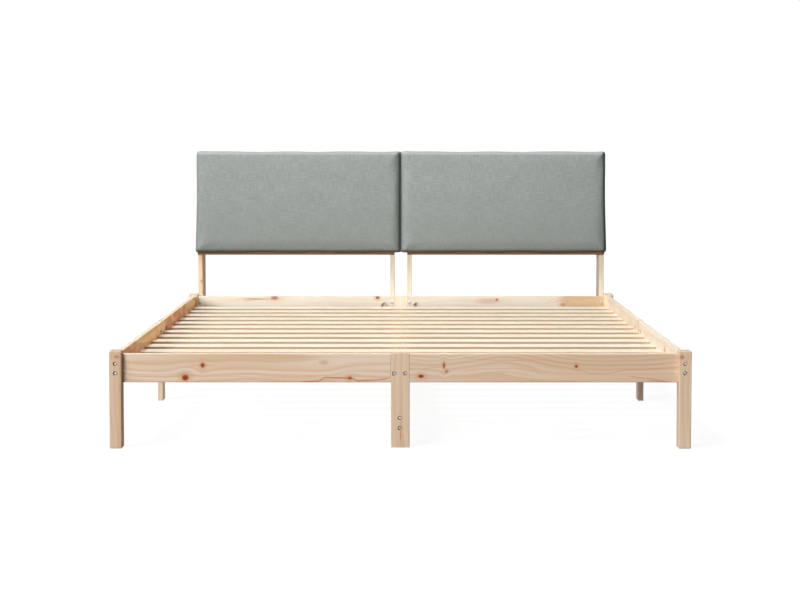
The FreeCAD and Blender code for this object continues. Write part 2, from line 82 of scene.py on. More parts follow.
class PineSettings(PropertyGroup):
    """Colours and grain of the pine boards."""

    pale: paint("Pale Wood", "Cream wood of the head end, side rails and beam", 243, 231, 213)
    warm: paint("Warm Wood", "Warmer bands in the cream wood", 238, 220, 196)
    foot: paint("Foot Rail Wood", "Rosy beige wood of the foot rail", 227, 207, 187)
    foot_warm: paint("Foot Rail Bands", "Warmer bands in the foot rail", 220, 193, 166)
    leg: paint("Leg Wood", "Beige wood of the legs", 214, 188, 161)
    leg_warm: paint("Leg Bands", "Warmer bands in the legs and the foot rail's right half", 205, 171, 138)
    amber: paint("Amber Wood", "Amber inner face of the left side rail", 255, 208, 148)
    umber: paint("Heartwood", "Dark heartwood stretch of the left side rail", 228, 138, 78)
    head: paint("Head Rail Wood", "Cream wood of the head rail", 231, 221, 206)
    # Painted shadow: the boards under the cushions are darkened where the cushions shade them
    board_shadow: paint("Lower Boards", "Brown wood of the boards under the cushions", 128, 90, 60)
    post: paint("Post Wood", "Redder wood of the left outer post", 250, 214, 178)
    rosy: paint("Rosy Wood", "Redder wood of the head rail's right end", 214, 186, 151)
    ring: paint("Year Rings", "Late wood lines of the year rings", 198, 150, 106)
    slat: paint("Slat Wood", "Pale planed sapwood of the slats", 247, 238, 219)
    # Painted shade on the slats' sides, which face into the gaps between them
    slat_gap_shade: paint("Slat Edges", "Darker sawn edges of the slats", 190, 166, 132)
    knot: paint("Knots", "Reddish wood of the knots", 186, 88, 48)
    knot_heart: paint("Knot Hearts", "Dark, speckled heart of the knots", 100, 44, 22)
    ring_spacing: FloatProperty(
        name="Ring Spacing", description="Distance between year rings",
        subtype="DISTANCE", unit="LENGTH", min=0.002, max=0.02, default=0.0125)
    grain_depth: FloatProperty(
        name="Grain Depth", description="Relief of the planed grain",
        subtype="DISTANCE", unit="LENGTH", min=0, max=0.002, default=0.0003)


class LinenSettings(PropertyGroup):
    """Colours, weave and padding of the headboard cushions."""

    light: paint("Light Yarn", "Lighter yarns of the linen", 167, 173, 172)
    dark: paint("Dark Yarn", "Darker yarns of the linen", 139, 145, 142)
    # Painted highlight: a paler yarn colour along the top edge of the cushions, where light falls on the
    # roll
    painted_top_highlight: paint("Faded Yarn", "Yarns bleached by daylight along the top edge", 206, 210, 209)
    # Painted shade along the lower edge, the right edge and in the joint between the cushions
    painted_edge_shade: paint("Hem", "Darker panels along the lower edge, the right edge and the joint", 92, 86, 76)
    pit: paint("Weave Pits", "Shade between the yarns", 96, 100, 96)
    yarn_width: FloatProperty(
        name="Yarn Width", description="Distance between neighbouring yarns",
        subtype="DISTANCE", unit="LENGTH", min=0.0005, max=0.005, default=0.0014)
    voxel: FloatProperty(
        name="Remesh Size", description="Size of the faces that the cloth is simulated on",
        subtype="DISTANCE", unit="LENGTH", min=0.004, max=0.02, default=0.006)
    pressure: FloatProperty(
        name="Stuffing Pressure", description="How hard the foam pushes out the cover",
        min=0, max=20, default=4.0)
    swell: FloatProperty(
        name="Most Swell", description="Furthest that any point of the cover may move out",
        subtype="DISTANCE", unit="LENGTH", min=0, max=0.03, default=0.008)
    start_inset: FloatProperty(
        name="Starting Inset", description="How much smaller the pad starts before it swells",
        subtype="DISTANCE", unit="LENGTH", min=0, max=0.02, default=0.002)
    front_round: FloatProperty(
        name="Front Rounding", description="Radius round the front edges",
        subtype="DISTANCE", unit="LENGTH", min=0.005, max=0.03, default=0.010)
    roll: FloatProperty(
        name="Edge Roll", description="Radius of the soft roll round the front of a cushion",
        subtype="DISTANCE", unit="LENGTH", min=0.005, max=0.03, default=0.021)
    crown: FloatProperty(
        name="Crown", description="How far the middle of a cushion stands out beyond its edges",
        subtype="DISTANCE", unit="LENGTH", min=0, max=0.03, default=0.014)
    corner_round: FloatProperty(
        name="Corner Rounding", description="Radius of the four corners seen from the front",
        subtype="DISTANCE", unit="LENGTH", min=0.005, max=0.05, default=0.016)
    back_round: FloatProperty(
        name="Back Rounding", description="Radius round the edges against the board",
        subtype="DISTANCE", unit="LENGTH", min=0.001, max=0.01, default=0.004)
    width: FloatProperty(
        name="Finished Width", description="Width of a cushion before it is pressed on its neighbour",
        subtype="DISTANCE", unit="LENGTH", min=0.8, max=1.0, default=0.912)
    evening: IntProperty(
        name="Evening Steps", description="Times that the cover is evened out",
        min=0, max=60, default=12)
    frames: IntProperty(
        name="Simulated Frames", description="Steps that the cloth is given to settle",
        min=1, max=60, default=20)


class StageSettings(PropertyGroup):
    """Camera, lamps and floor."""

    camera_place: FloatVectorProperty(
        name="Camera Place", description="Where the camera stands",
        subtype="TRANSLATION", unit="LENGTH", size=3, default=(0.0079, -6.517, 0.9947))
    camera_pitch: FloatProperty(
        name="Camera Pitch", description="How far the camera looks down",
        subtype="ANGLE", unit="ROTATION", default=math.radians(3.2162))
    camera_turn: FloatProperty(
        name="Camera Turn", description="How far the camera turns to the left",
        subtype="ANGLE", unit="ROTATION", default=math.radians(0.0905))
    camera_lens: FloatProperty(
        name="Focal Length", description="Focal length on a 36 mm sensor, in millimetres",
        min=10, max=300, default=76.03)
    camera_shift: FloatProperty(
        name="Vertical Shift", description="Lens shift as a share of the image width",
        min=-0.3, max=0.3, default=-0.08)
    key_strength: FloatProperty(
        name="Key Lamp", description="Light on a surface that faces the key lamp, 1 is full white",
        min=0, max=4, default=0.80)
    top_strength: FloatProperty(
        name="Top Lamp", description="Light on a surface that faces the top lamp, 1 is full white",
        min=0, max=4, default=0.07)
    front_strength: FloatProperty(
        name="Front Lamp", description="Light on a surface that faces the front lamp, 1 is full white",
        min=0, max=4, default=0.69)
    side_strength: FloatProperty(
        name="Side Lamp", description="Light on a surface that faces the narrow side lamp, 1 is full white",
        min=0, max=4, default=0.40)
    room_strength: FloatProperty(
        name="Room Light", description="Even light from all round",
        min=0, max=2, default=0.06)
    floor_white: FloatProperty(
        name="Floor White", description="Share of plain white in the floor close to the bed",
        subtype="FACTOR", min=0, max=1, default=0.86)
    floor_bounce: FloatProperty(
        name="Floor Bounce", description="Share of the light that the floor throws back",
        subtype="FACTOR", min=0, max=1, default=0.09)


class BedSettings(PropertyGroup):
    """All settings of the bed."""

    pine: PointerProperty(type=PineSettings)
    linen: PointerProperty(type=LinenSettings)
    stage: PointerProperty(type=StageSettings)


# Shader tools

class Value:
    """A shader value. Arithmetic on it adds Math nodes to its finish."""

    def __init__(self, finish, socket):
        self.finish = finish
        self.socket = socket

    def __add__(self, other):
        return self.finish.math("ADD", self, other)

    def __radd__(self, other):
        return self.finish.math("ADD", other, self)

    def __sub__(self, other):
        return self.finish.math("SUBTRACT", self, other)

    def __rsub__(self, other):
        return self.finish.math("SUBTRACT", other, self)

    def __mul__(self, other):
        return self.finish.math("MULTIPLY", self, other)

    def __truediv__(self, other):
        return self.finish.math("DIVIDE", self, other)

    def __pow__(self, other):
        return self.finish.math("POWER", self, other)


class Finish:
    """One material and the nodes that make it."""

    def __init__(self, name):
        self.material = bpy.data.materials.new(name)
        self.material.use_nodes = True
        self.tree = self.material.node_tree
        self.surface = self.tree.nodes["Principled BSDF"]

    def node(self, kind, settings=None, inputs=None, output=0):
        """Adds a node, sets it up, feeds its sockets and gives one of its outputs."""
        made = self.tree.nodes.new(kind)
        for key, setting in (settings or {}).items():
            setattr(made, key, setting)
        for key, source in (inputs or {}).items():
            self.feed(made.inputs[key], source)
        return Value(self, made.outputs[output])

    def split(self, kind, whole):
        """Adds a node that takes a vector or a colour apart and gives its three parts."""
        made = self.tree.nodes.new(kind)
        self.feed(made.inputs[0], whole)
        return [Value(self, output) for output in made.outputs]

    def feed(self, socket, source):
        """Links a shader value to a socket, or sets the socket to a plain value."""
        if isinstance(source, Value):
            self.tree.links.new(source.socket, socket)
        else:
            socket.default_value = source

    def math(self, operation, *values):
        """Adds a Math node."""
        return self.node("ShaderNodeMath", {"operation": operation}, dict(enumerate(values)))

    def smooth(self, value, low, high):
        """0 below low, 1 above high and a smooth rise between them."""
        return self.node("ShaderNodeMapRange", {"interpolation_type": "SMOOTHSTEP"},
                         {"Value": value, "From Min": low, "From Max": high})

    def mix(self, share, first, second):
        """Mixes two colours. A Mix node keeps these in its inputs 6 and 7 and its output 2."""
        return self.node("ShaderNodeMix", {"data_type": "RGBA"}, {0: share, 6: first, 7: second}, 2)

    def place(self):
        """The x, y and z of the surface point, in metres."""
        return self.split("ShaderNodeSeparateXYZ", self.node("ShaderNodeTexCoord", output="Object"))

    def vector(self, x, y, z):
        """Joins three values to a vector."""
        return self.node("ShaderNodeCombineXYZ", None, {0: x, 1: y, 2: z})

    def noise(self, vector, scale, detail=2.0, roughness=0.5, distortion=0.0):
        """Noise from 0 to 1."""
        return self.node("ShaderNodeTexNoise", None,
                         {"Vector": vector, "Scale": scale, "Detail": detail,
                          "Roughness": roughness, "Distortion": distortion})

    def bump(self, height, strength, distance):
        """Feeds a height to the surface's normal."""
        normal = self.node("ShaderNodeBump", None,
                           {"Height": height, "Strength": strength, "Distance": distance})
        self.feed(self.surface.inputs["Normal"], normal)

    def set_surface(self, **inputs):
        """Feeds named sockets of the surface; underscores stand for spaces."""
        for key, source in inputs.items():
            self.feed(self.surface.inputs[key.replace("_", " ")], source)
        return self.material


# Pine

# The heart of the tree: how far it lies below a board's middle, how much that and its place to
# one side differ between boards, in metres, and how far out of line with the boards it runs
PITH_DEPTH = 0.045
PITH_DEPTH_SPREAD = 0.02
PITH_SIDE_SPREAD = 0.1
PITH_SLOPE = 0.12

# How far the year rings and the fibres wander, in metres, and how strongly a knot bends them
RING_DRIFT = 0.1
RING_SWAY = 0.022
FIBRE_SWAY = 0.012
KNOT_BEND = 0.6

# A year ring darkens over the first stretch of its width and pales over the second
RING_RISE = (0.3, 0.92)
RING_FALL = (0.93, 1.0)

# How much of the rings' colour each layer of the grain and a knot's halo take on
RING_SHARE = 0.45
STREAK_SHARE = 0.3
FIBRE_SHARE = 0.16
HALO_SHARE = 0.45
HALO_MOST = 0.8

# Each part of a knot is full up to the first distance and gone past the second, in knot radii
KNOT_BODY = (0.65, 1.15)
KNOT_HEART = (0.25, 0.85)
KNOT_HALO = (0.9, 2.8)
KNOT_SWIRL = (0.2, 5.0)

# A vein fades from just outside its end points to just inside them, and below the board's face
VEIN_OUTSIDE = 0.01
VEIN_INSIDE = 0.02
VEIN_FADE = (0.008, 0.012)


class Knot:
    """A knot: its heart and how far it reaches along, into and across the board, in metres."""

    def __init__(self, x, y, z, along, across, depth=0.03, strength=1.0, swirl=1.0):
        self.centre = (x, y, z)
        self.reach = (along, depth, across)
        self.strength = strength
        self.swirl = swirl


class Vein:
    """A dark grain line on one face: points along and across the board, in metres."""

    def __init__(self, level, points, width=0.0016, strength=0.5):
        self.level = level
        self.points = points
        self.width = width
        self.strength = strength


def add_veins(finish, place, order, veins):
    """Sums the dark grain lines up, each fading out at both ends."""
    along, level, across = [place[axis] for axis in order]
    dark = 0.0
    for vein in veins:
        line = vein.points[0][1]
        for (start, low), (end, high) in zip(vein.points, vein.points[1:]):
            line = finish.smooth(along, start, end) * (high - low) + line
        away = finish.math("ABSOLUTE", across - line)
        first, last = vein.points[0][0], vein.points[-1][0]
        ends = finish.smooth(along, first - VEIN_OUTSIDE, first + VEIN_INSIDE)
        ends = finish.smooth(along, last + VEIN_OUTSIDE, last - VEIN_INSIDE) * ends
        face = 1 - finish.smooth(finish.math("ABSOLUTE", level - vein.level), *VEIN_FADE)
        dark = (1 - finish.smooth(away, 0.0, vein.width)) * ends * face * vein.strength + dark
    return finish.math("MINIMUM", dark, 1.0)


def board_space(finish, place, cells):
    """Where the point lies within its own board's block of space, and three numbers of that block.

    cells gives, for x, y and z, where the blocks start and how long they are."""
    local, steps = [], []
    for value, (start, size) in zip(place, cells):
        turns = (value - start) / size
        steps.append(finish.math("FLOOR", turns))
        local.append((finish.math("FRACT", turns) - 0.5) * size)
    block = finish.node("ShaderNodeTexWhiteNoise", {"noise_dimensions": "3D"},
                        {"Vector": finish.vector(*steps)}, "Color")
    return local, finish.split("ShaderNodeSeparateColor", block)


def add_knots(finish, place, order, knots):
    """Sums the knots up: body, dark heart, warm halo and the bend they give the grain."""
    body, heart, halo, swirl = 0.0, 0.0, 0.0, 0.0
    for knot in knots:
        middle = [knot.centre[axis] for axis in order]
        squares = [((place[axis] - centre) / reach) ** 2.0
                   for axis, centre, reach in zip(order, middle, knot.reach)]
        away = finish.math("SQRT", squares[0] + squares[1] + squares[2])
        body = (1 - finish.smooth(away, *KNOT_BODY)) * knot.strength + body
        heart = (1 - finish.smooth(away, *KNOT_HEART)) * knot.strength + heart
        halo = (1 - finish.smooth(away, *KNOT_HALO)) * knot.strength + halo
        side = place[order[2]] - middle[2]
        swirl = (1 - finish.smooth(away, *KNOT_SWIRL)) * side * knot.swirl + swirl
    return body, heart, halo, swirl


def pine(name, order, settings, cells, tone, knots=(), veins=(), roughness=0.54):
    """Pine with rings, fibres and knots. order lists the axes along, into and across the boards.

    tone is a function that gives the pale and the warm colour at a point, and how bold the rings are.
    Its smooth steps name the two places, in metres, between which one colour runs into the next."""
    finish = Finish(name)
    place = finish.place()
    local, (first, second, third) = board_space(finish, place, cells)
    along, depth, across = [local[axis] for axis in order]
    body, heart, halo, swirl = add_knots(finish, place, order, knots)

    # The noises take repeats a metre, and the block's three numbers shift them from board to board
    drift = finish.noise(finish.vector(along * 1.6 + first * 9.0, second * 30.0, depth * 3.0), 1.0, 1.0)
    sway = finish.noise(finish.vector(along * 5.0, across * 12.0, depth * 12.0 + third * 20.0), 1.0, 2.0)
    offset = across + (second - 0.5) * PITH_SIDE_SPREAD - swirl * KNOT_BEND
    offset = offset + (drift - 0.5) * RING_DRIFT + (sway - 0.5) * RING_SWAY
    pith = depth + PITH_DEPTH + third * PITH_DEPTH_SPREAD + along * ((first - 0.5) * PITH_SLOPE)
    radius = finish.math("SQRT", offset * offset + pith * pith)
    turn = finish.math("FRACT", radius / settings.ring_spacing)
    late = finish.smooth(turn, *RING_RISE) * (1 - finish.smooth(turn, *RING_FALL))

    bent = across - swirl * KNOT_BEND + (sway - 0.5) * FIBRE_SWAY
    streaks = finish.noise(finish.vector(along * 2.5, bent * 260.0, depth * 260.0), 1.0, 3.0, 0.6)
    fibres = finish.noise(finish.vector(along * 16.0, bent * 1500.0, depth * 1500.0), 1.0, 2.0, 0.6)
    bands = finish.noise(finish.vector(along * 1.1 + third * 9.0, bent * 26.0, depth * 26.0), 1.0)

    pale, warm, bold = tone(finish, *place)
    line = settings.ring
    shade = finish.mix(finish.smooth(bands, 0.38, 0.7), pale, warm)
    shade = finish.mix(late * bold * RING_SHARE, shade, line)
    shade = finish.mix(finish.smooth(streaks, 0.46, 0.8) * bold * STREAK_SHARE, shade, line)
    shade = finish.mix(finish.smooth(fibres, 0.5, 0.9) * bold * FIBRE_SHARE, shade, line)
    if knots:
        shade = finish.mix(finish.math("MINIMUM", halo * HALO_SHARE, HALO_MOST), shade, line)
        speckle = finish.noise(finish.vector(*[axis * 320.0 for axis in place]), 1.0, 2.0)
        shade = finish.mix(finish.math("MINIMUM", body, 1.0), shade, settings.knot)
        heart = finish.math("MINIMUM", heart * (speckle + 0.45), 1.0)
        shade = finish.mix(heart, shade, settings.knot_heart)
    if veins:
        shade = finish.mix(add_veins(finish, place, order, veins), shade, settings.knot)
    finish.bump(fibres * 0.6 + late * 0.4, 0.35, settings.grain_depth)
    return finish.set_surface(Base_Color=shade, Roughness=streaks * 0.14 + roughness,
                              Specular_IOR_Level=0.3)


def finish_nodes(names, material):
    """Gives every named CAD node one material."""
    for name in names:
        slots = frame["nodes"][name].data.materials
        slots.clear()
        slots.append(material)


def nodes_of_slot(slot):
    """The CAD nodes whose record entry names a material slot."""
    return [part["node"] for part in frame["record"]["subparts"] if part["material_slot"] == slot]


class BED_OT_finish_uprights(Operator):
    """Pine with upright grain for the legs and the headboard posts"""

    bl_idname = "bed.finish_uprights"
    bl_label = "Finish Legs and Posts"

    cells = ((-1.3823, 0.9215), (-1.577, 1.018), (-2.5, 5.0))
    knots = (
        Knot(-0.915, -1.093, 0.299, 0.007, 0.012, strength=0.3),
        Knot(0.910, -1.093, 0.298, 0.008, 0.010, strength=0.35),
        Knot(0.001, -1.093, 0.040, 0.026, 0.0016, strength=0.8, swirl=0),
        Knot(-0.887, 0.973, 0.373, 0.006, 0.004, strength=0.4),
    )

    def execute(self, context):
        settings = context.scene.bed.pine

        def tone(finish, x, y, z):
            """Beige legs at the foot, cream behind them, the left outer post redder, the right legs paler
            as painted light.
            """
            rear = finish.smooth(y, -0.6, -0.5)
            outer = finish.smooth(finish.math("ABSOLUTE", x), 0.901, 0.903)
            rear = rear * (1 - outer * 0.5)
            red = finish.smooth(y, 0.94, 0.97) * finish.smooth(x, -0.5, -0.8) * finish.smooth(z, 0.31, 0.32)
            centre = finish.smooth(finish.math("ABSOLUTE", x), 0.08, 0.04) * 0.5
            pale = finish.mix(centre, settings.leg, settings.foot)
            warm = finish.mix(centre, settings.leg_warm, settings.foot_warm)
            # Painted light: the right legs are paler, besides the cream wood behind the foot
            light = finish.math("MAXIMUM", rear, finish.smooth(x, 0.8, 0.85) * 0.3)
            pale = finish.mix(light, pale, settings.pale)
            warm = finish.mix(light, warm, settings.warm)
            amber = rear * finish.smooth(x, -0.920, -0.910) * finish.smooth(x, -0.90, -0.909)
            red = finish.math("MAXIMUM", red, amber)
            rosy = finish.mix(amber, settings.post, settings.amber)
            return finish.mix(red, pale, rosy), finish.mix(red, warm, rosy), 0.6 - rear * 0.3

        material = pine("oiled_pine_uprights", (2, 1, 0), settings, self.cells, tone, self.knots)
        finish_nodes(nodes_of_slot("pine_uprights"), material)
        return {"FINISHED"}


class BED_OT_finish_cross_boards(Operator):
    """Pine with its grain across the bed for the end rails and the headboard's boards"""

    bl_idname = "bed.finish_cross_boards"
    bl_label = "Finish End Rails and Cross Boards"

    cells = ((-2.0, 2.0), (-2.076, 2.026), (0.095, 0.33))
    knots = (
        Knot(-0.6405, -1.073, 0.2691, 0.0075, 0.0090),
        Knot(-0.6973, -1.073, 0.2285, 0.0130, 0.0115),
        Knot(-0.1632, -1.073, 0.2269, 0.0090, 0.0060, strength=0.8, swirl=1.4),
        Knot(-0.2476, -1.073, 0.2788, 0.0200, 0.0100, strength=0.16, swirl=0.6),
        Knot(0.0673, -1.073, 0.2334, 0.0105, 0.0065),
        Knot(0.1420, -1.073, 0.2680, 0.0045, 0.0110, strength=0.75),
        Knot(0.1500, -1.073, 0.2490, 0.0060, 0.0050, strength=0.5),
        Knot(0.5706, -1.073, 0.2658, 0.0055, 0.0055),
        Knot(0.3600, -1.073, 0.2400, 0.0600, 0.0250, strength=0.0, swirl=0.8),
        Knot(0.6700, -1.073, 0.2350, 0.0700, 0.0250, strength=0.0, swirl=-0.7),
        Knot(-0.5604, 0.953, 0.2995, 0.0200, 0.0110, strength=0.5),
        Knot(-0.6513, 0.953, 0.2950, 0.0600, 0.0040, strength=0.3, swirl=0.3),
        Knot(-0.1033, 0.953, 0.3010, 0.0100, 0.0075, strength=0.8),
        Knot(0.4259, 0.953, 0.2919, 0.0055, 0.0050, strength=0.7),
        Knot(0.3900, 0.953, 0.2870, 0.0700, 0.0160, strength=0.15, swirl=0),
        Knot(0.7185, 0.953, 0.2700, 0.0150, 0.0100, strength=0.25),
    )
    veins = (
        Vein(-1.073, ((-0.676, 0.2690), (-0.600, 0.2688)), 0.0014, 0.5),
        Vein(-1.073, ((-0.320, 0.2155), (-0.268, 0.2165), (-0.242, 0.2290), (-0.163, 0.2275),
                      (-0.137, 0.2190), (-0.085, 0.2210), (-0.033, 0.2255)), 0.0034, 0.85),
        Vein(-1.073, ((-0.880, 0.2400), (-0.740, 0.2380), (-0.697, 0.2430), (-0.655, 0.2370),
                      (-0.520, 0.2420), (-0.330, 0.2380), (-0.260, 0.2300)), 0.0016, 0.3),
        Vein(-1.073, ((-0.870, 0.2330), (-0.722, 0.2330), (-0.697, 0.2385), (-0.670, 0.2330),
                      (-0.420, 0.2310), (-0.300, 0.2260)), 0.0014, 0.25),
        Vein(-1.073, ((0.060, 0.2500), (0.090, 0.2600), (0.142, 0.2640)), 0.0022, 0.45),
        Vein(-1.073, ((0.142, 0.2600), (0.165, 0.2480)), 0.0025, 0.4),
        Vein(-1.073, ((0.200, 0.3000), (0.232, 0.2900), (0.330, 0.2850), (0.450, 0.2870),
                      (0.560, 0.2740), (0.700, 0.2700), (0.880, 0.2720)), 0.0018, 0.3),
        Vein(-1.073, ((0.200, 0.2500), (0.270, 0.2570), (0.360, 0.2600), (0.425, 0.2530),
                      (0.462, 0.2400)), 0.0020, 0.4),
        Vein(-1.073, ((0.250, 0.2440), (0.330, 0.2480), (0.400, 0.2400), (0.440, 0.2300)), 0.0018, 0.3),
        Vein(-1.073, ((0.570, 0.2650), (0.590, 0.2500), (0.620, 0.2420), (0.670, 0.2430),
                      (0.740, 0.2550), (0.880, 0.2600)), 0.0018, 0.35),
        Vein(-1.073, ((0.735, 0.2330), (0.800, 0.2270), (0.860, 0.2180)), 0.0026, 0.45),
        Vein(-1.073, ((0.800, 0.2185), (0.880, 0.2155)), 0.0030, 0.6),
        Vein(0.953, ((-0.700, 0.2840), (-0.640, 0.2930), (-0.580, 0.2950)), 0.0045, 0.3),
        Vein(0.953, ((0.670, 0.2740), (0.695, 0.2870), (0.718, 0.2890), (0.745, 0.2830),
                     (0.760, 0.2720)), 0.0030, 0.35),
        Vein(0.953, ((0.640, 0.2740), (0.680, 0.2960), (0.718, 0.2990), (0.880, 0.3000)), 0.0030, 0.25),
    )

    def execute(self, context):
        settings = context.scene.bed.pine

        def tone(finish, x, y, z):
            """Rosy beige at the foot, cream at the head with a redder right end, the boards under the
            cushions darkened as painted shadow and the top edges paler as painted highlight.
            """
            head = finish.smooth(y, -0.2, 0.2)
            red = head * finish.smooth(x, 0.68, 0.74)
            # Painted shadow under the cushions
            board_shadow = finish.smooth(z, 0.40, 0.45) * finish.smooth(z, 0.62, 0.58)
            deep = finish.smooth(x, 0.0, 0.03) * 0.35
            pale = finish.mix(deep, settings.foot, settings.leg)
            warm = finish.mix(deep, settings.foot_warm, settings.leg_warm)
            # Painted highlight: the rails' top edges are paler where light falls on them
            crest = finish.smooth(z, 0.3045, 0.3067) * 0.7
            pale = finish.mix(crest, finish.mix(head, pale, settings.head), settings.pale)
            warm = finish.mix(crest, finish.mix(head, warm, settings.head), settings.pale)
            pale = finish.mix(red, pale, settings.rosy)
            warm = finish.mix(red, warm, settings.rosy)
            brown = settings.board_shadow
            return finish.mix(board_shadow, pale, brown), finish.mix(board_shadow, warm, brown), 0.8 - head * 0.55

        material = pine("oiled_pine_cross_boards", (0, 1, 2), settings, self.cells, tone,
                        self.knots, self.veins)
        finish_nodes(nodes_of_slot("pine_cross_boards"), material)
        return {"FINISHED"}


class BED_OT_finish_long_boards(Operator):
    """Pine with its grain along the bed for the side rails, beam, stretcher and ledgers"""

    bl_idname = "bed.finish_long_boards"
    bl_label = "Finish Side Rails, Beam and Ledgers"

    cells = ((-1.3823, 0.9215), (-3.05, 3.0), (-0.01, 0.18))
    knots = (
        Knot(-0.9115, -0.860, 0.276, 0.060, 0.012, strength=0.6),
        Knot(-0.9315, -0.620, 0.262, 0.014, 0.009),
        Knot(0.9315, 0.410, 0.248, 0.012, 0.010),
        Knot(0.9315, -0.720, 0.275, 0.010, 0.007, strength=0.8),
    )

    def execute(self, context):
        settings = context.scene.bed.pine

        def tone(finish, x, y, z):
            """Cream boards, the left rail's inner face amber with a dark stretch of heartwood."""
            amber = finish.smooth(x, -0.926, -0.918) * finish.smooth(x, -0.86, -0.90)
            amber = amber * finish.smooth(z, 0.3075, 0.3045)
            flame = finish.noise(finish.vector(y * 9.0, x, z * 26.0), 1.0, 2.0)
            heart = finish.math("MAXIMUM", finish.smooth(y, -0.12, 0.0), finish.smooth(y, -0.68, -0.78))
            dark = amber * finish.smooth(flame, 0.32, 0.54) * (heart * 0.75 + 0.25)
            dark = dark * finish.smooth(y, 0.64, 0.56)
            pale = finish.mix(amber, settings.pale, settings.amber)
            warm = finish.mix(amber, settings.warm, settings.amber)
            umber = settings.umber
            return finish.mix(dark, pale, umber), finish.mix(dark, warm, umber), amber * 0.9 + 0.3

        material = pine("oiled_pine_long_boards", (1, 0, 2), settings, self.cells, tone,
                        self.knots, roughness=0.5)
        finish_nodes(nodes_of_slot("pine_long_boards"), material)
        return {"FINISHED"}


class BED_OT_finish_slats(Operator):
    """Pale planed pine for the slats"""

    bl_idname = "bed.finish_slats"
    bl_label = "Finish Slats"

    cells = ((-2.0, 2.0), (-1.0206, 0.1522), (-0.242, 1.0))

    def execute(self, context):
        settings = context.scene.bed.pine

        def tone(finish, x, y, z):
            """Pale sapwood with slightly warmer bands, and painted shade on the slats' sides in the gaps.
            """
            # Painted shade below the slats' tops
            shaded = finish.smooth(z, 0.2634, 0.2612)
            pale = finish.mix(shaded, settings.slat, settings.slat_gap_shade)
            warm = finish.mix(shaded, settings.pale, settings.slat_gap_shade)
            return pale, warm, 0.4

        material = pine("planed_pine_slats", (0, 2, 1), settings, self.cells, tone)
        finish_nodes(nodes_of_slot("pine_slats"), material)
        return {"FINISHED"}


class BED_OT_finish_plywood(Operator):
    """Thin birch plywood for the boards behind the cushions"""

    bl_idname = "bed.finish_plywood"
    bl_label = "Finish Cushion Boards"

    pale = colour(222, 190, 146)
    brown = colour(198, 158, 110)
    pore = colour(150, 108, 70)

    def execute(self, context):
        finish = Finish("thin_plywood")
        x, y, z = finish.place()
        figure = finish.noise(finish.vector(x * 3.0, y * 30.0, z * 22.0), 1.0, 4.0, 0.55, 0.6)
        pores = finish.noise(finish.vector(x * 60.0, y * 700.0, z * 700.0), 1.0, 2.0)
        shade = finish.mix(finish.smooth(figure, 0.3, 0.75), self.pale, self.brown)
        flecked = finish.mix(finish.smooth(pores, 0.62, 0.8) * 0.35, shade, self.pore)
        finish.bump(pores, 0.3, 0.0002)
        finish_nodes(nodes_of_slot("plywood"),
                     finish.set_surface(Base_Color=flecked, Roughness=0.6 + pores * 0.1))
        return {"FINISHED"}


class BED_OT_finish_hardware(Operator):
    """Zinc plated steel for the bolts, nuts, rods and screws"""

    bl_idname = "bed.finish_hardware"
    bl_label = "Finish Bolts and Screws"

    bright = colour(212, 205, 197)
    dull = colour(184, 177, 169)

    def execute(self, context):
        finish = Finish("zinc_plated_steel")
        place = finish.vector(*finish.place())
        spangle = finish.noise(place, 900.0, 2.0, 0.6)
        cloud = finish.noise(place, 140.0, 2.0)
        shade = finish.mix(finish.smooth(cloud, 0.3, 0.7), self.bright, self.dull)
        finish.bump(spangle, 0.2, 0.0001)
        finish_nodes(nodes_of_slot("zinc_steel"),
                     finish.set_surface(Base_Color=shade, Metallic=0.7,
                                        Roughness=0.4 + spangle * 0.2))
        return {"FINISHED"}


# Cushions

# The slope that the cushions lean on: its angle, and where it starts behind the head rail
LEAN = math.radians(8.5)
KNEE = Vector((0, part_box("head_rail_left")[1].y, 0.487))

# A cushion in the slope's own axes, in metres. Its back is this far in front of the slope, and its
# lower edge this far up it
PAD_BACK = 0.026
PAD_LIFT = 0.010
PAD_HEIGHT = 0.4535
PAD_DEPTH = 0.042
PAD_WIDTH = 0.903

# The cover is stapled down this far in from the back, and an edge this close to a face is on it
STAPLED = 0.004
ON_FACE = 0.001

# Where the staples draw the cover in: the band along the edges, and the depth and reach of a dip
# in the upper and lower edges and of the one in each outer edge
EDGE_BAND = 0.05
DIP_DEPTH = 0.003
DIP_REACH = 0.07
SIDE_DIP_DEPTH = 0.0015
SIDE_DIP_REACH = 0.12

# Each cushion is pressed this far onto its neighbour and stays this far from the middle. In front
# of its back the pressed side gives way by half a groove, beginning this far inside the side and
# in full after a band
PRESS = 0.003
CONTACT = 0.0001
HALF_GROOVE = 0.0050
GROOVE_START = 0.03
GROOVE_BAND = 0.02

# The slow waves in the face, and the crease with the crest beside it
WAVE_DEPTH = 0.0009
CREASE_LENGTH = 0.03
CREASE_DEPTH = 0.0016
CREASE_WIDTH = 0.004
CREST_HEIGHT = 0.0010
CREST_AWAY = 0.009
CREST_WIDTH = 0.005

# Heights between which the linen has painted shade on its lower part, a painted highlight along its
# top edge and painted shade along its lower edge, and places across the bed between which the right
# edge and the two sides of the joint have painted shade, in metres
SHADED_LOWER_PART = (0.84, 0.54)
TOP_HIGHLIGHT = (0.930, 0.942)
LOWER_EDGE_SHADE = (0.520, 0.508)
RIGHT_EDGE_SHADE = (0.893, 0.902)
JOINT_LEFT = (-0.014, -0.006)
JOINT_RIGHT = (0.004, 0.0005)

# Slubs along and across a yarn, in repeats a metre, and how far they push it aside, in radians
SLUBS_ALONG = 22.0
SLUBS_ACROSS = 520.0
SLUB_PUSH = 1.5


def activate(piece):
    """Leaves one object selected and active."""
    bpy.ops.object.select_all(action="DESELECT")
    piece.select_set(True)
    bpy.context.view_layer.objects.active = piece


